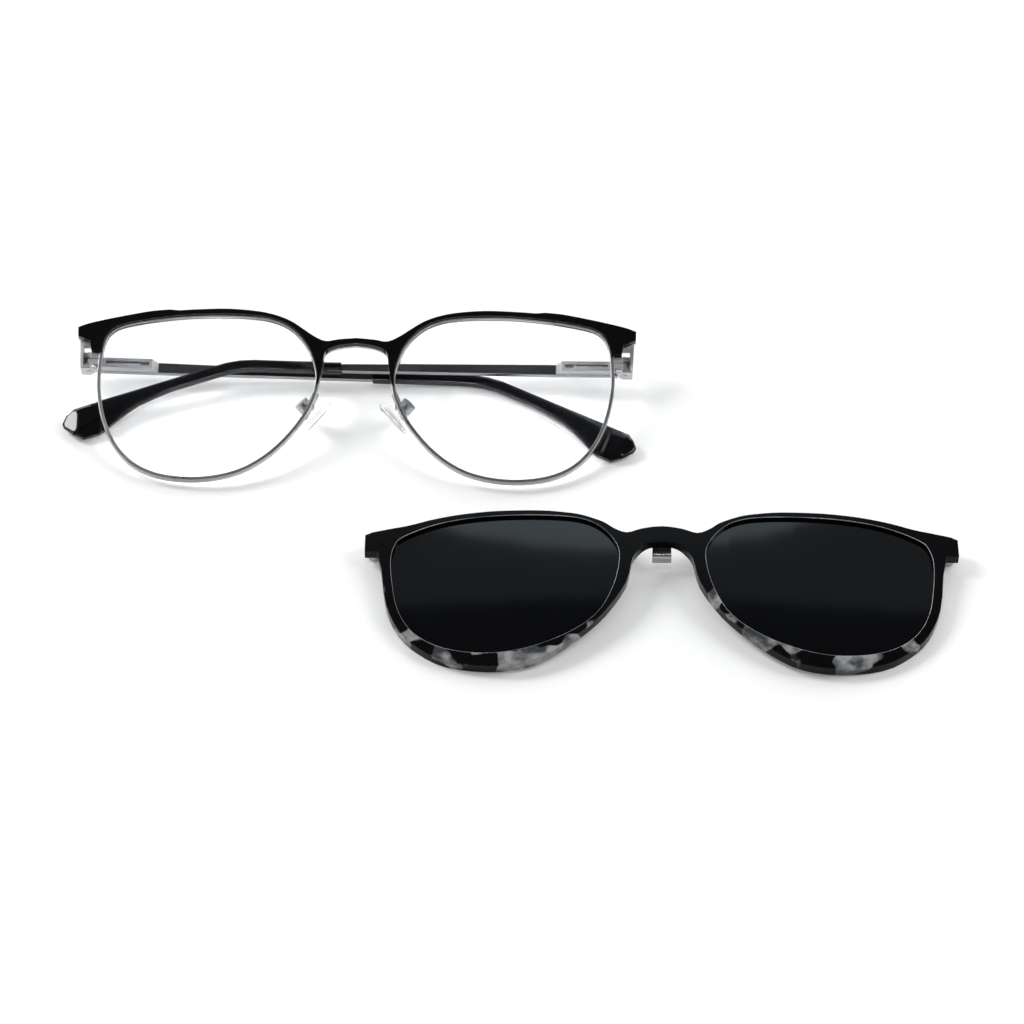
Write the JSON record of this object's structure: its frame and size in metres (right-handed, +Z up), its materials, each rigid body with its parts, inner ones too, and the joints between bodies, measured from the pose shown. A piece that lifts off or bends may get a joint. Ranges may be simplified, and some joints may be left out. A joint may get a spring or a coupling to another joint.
{
  "type": "eyeglasses with clip-on",
  "caption": "Folded browline eyeglasses with spring hinges and a separate magnetic clip-on with dark lenses lying beside them.",
  "frame": {"origin": "on the table, under the middle of the whole part's bounding box", "axes": "+X along the length of both fronts, toward the eyeglasses' right half as drawn (the clip-on's side); +Y away from the clip-on across the table, up the fronts; +Z up from the table"},
  "size_m": [0.2126, 0.105, 0.0173],
  "materials": {
    "black_enamel": "gloss",
    "arm_enamel": "satin",
    "silver": "satin",
    "bright_silver": "polished",
    "clear_lens": "clear",
    "pad_silicone": "translucent",
    "black_sleeve": "gloss",
    "clip_plastic": "gloss, fading to clear grey low down",
    "dark_lens": "gloss",
    "magnet_metal": "polished"
  },
  "bodies": {
    "front": {"brow_plate": "black_enamel", "left_rim_wire": "bright_silver", "right_rim_wire": "bright_silver", "left_demo_lens": "clear_lens", "right_demo_lens": "clear_lens", "left_rim_lock": "silver", "right_rim_lock": "silver", "left_rim_screw": "silver", "right_rim_screw": "silver", "left_endpiece": "silver", "right_endpiece": "silver", "left_hinge_screw": "silver", "right_hinge_screw": "silver", "left_pad_arm": "bright_silver", "right_pad_arm": "bright_silver", "left_pad_screw": "silver", "right_pad_screw": "silver"},
    "left_tongue": {"left_hinge_tongue": "silver", "left_hinge_spring": "silver"},
    "left_temple": {"left_hinge_box": "silver", "left_temple_arm": "arm_enamel", "left_temple_tip": "black_sleeve"},
    "left_pad": {"left_nose_pad": "pad_silicone"},
    "right_tongue": {"right_hinge_tongue": "silver", "right_hinge_spring": "silver"},
    "right_temple": {"right_hinge_box": "silver", "right_temple_arm": "arm_enamel", "right_temple_tip": "black_sleeve"},
    "right_pad": {"right_nose_pad": "pad_silicone"},
    "clip": {"clip_front": "clip_plastic", "left_clip_lens": "dark_lens", "right_clip_lens": "dark_lens", "bridge_magnet_case": "bright_silver", "bridge_magnet": "magnet_metal", "left_magnet_cup": "magnet_metal", "right_magnet_cup": "magnet_metal", "left_magnet": "magnet_metal", "right_magnet": "magnet_metal"}
  },
  "joints": [
    {"name": "left_temple_fold", "type": "hinge", "parent": "front", "child": "left_tongue", "pos_m": [-0.1007, 0.04242, 0.00691], "axis": [0, 0.9588, 0.284], "range_deg": [0, 87.4]},
    {"name": "left_spring_flex", "type": "slide", "parent": "left_tongue", "child": "left_temple", "axis": [0.999, 0.0129, -0.0435], "range_m": [0, 0.0015], "stiffness_N_per_m": 900, "springref_m": -0.001},
    {"name": "left_pad_rock", "type": "hinge", "parent": "front", "child": "left_pad", "pos_m": [-0.04774, 0.02921, 0.00544], "axis": [-0.4292, 0.5597, -0.7089], "range_deg": [-12, 12]},
    {"name": "right_temple_fold", "type": "hinge", "parent": "front", "child": "right_tongue", "pos_m": [0.0295, 0.04242, 0.00691], "axis": [0, -0.9588, -0.284], "range_deg": [0, 90]},
    {"name": "right_spring_flex", "type": "slide", "parent": "right_tongue", "child": "right_temple", "axis": [-1, 0, 0], "range_m": [0, 0.0015], "stiffness_N_per_m": 900, "springref_m": -0.001},
    {"name": "right_pad_rock", "type": "hinge", "parent": "front", "child": "right_pad", "pos_m": [-0.02345, 0.02921, 0.00544], "axis": [0.4292, 0.5597, -0.7089], "range_deg": [-12, 12]},
    {"name": "clip_on_lift", "type": "slide", "parent": "front", "child": "clip", "axis": [0, 0, 1], "range_m": [0, 0.05]}
  ],
  "couplings": [
    {"joint": "right_temple_fold", "follows": "left_temple_fold", "ratio": 0.25}
  ]
}
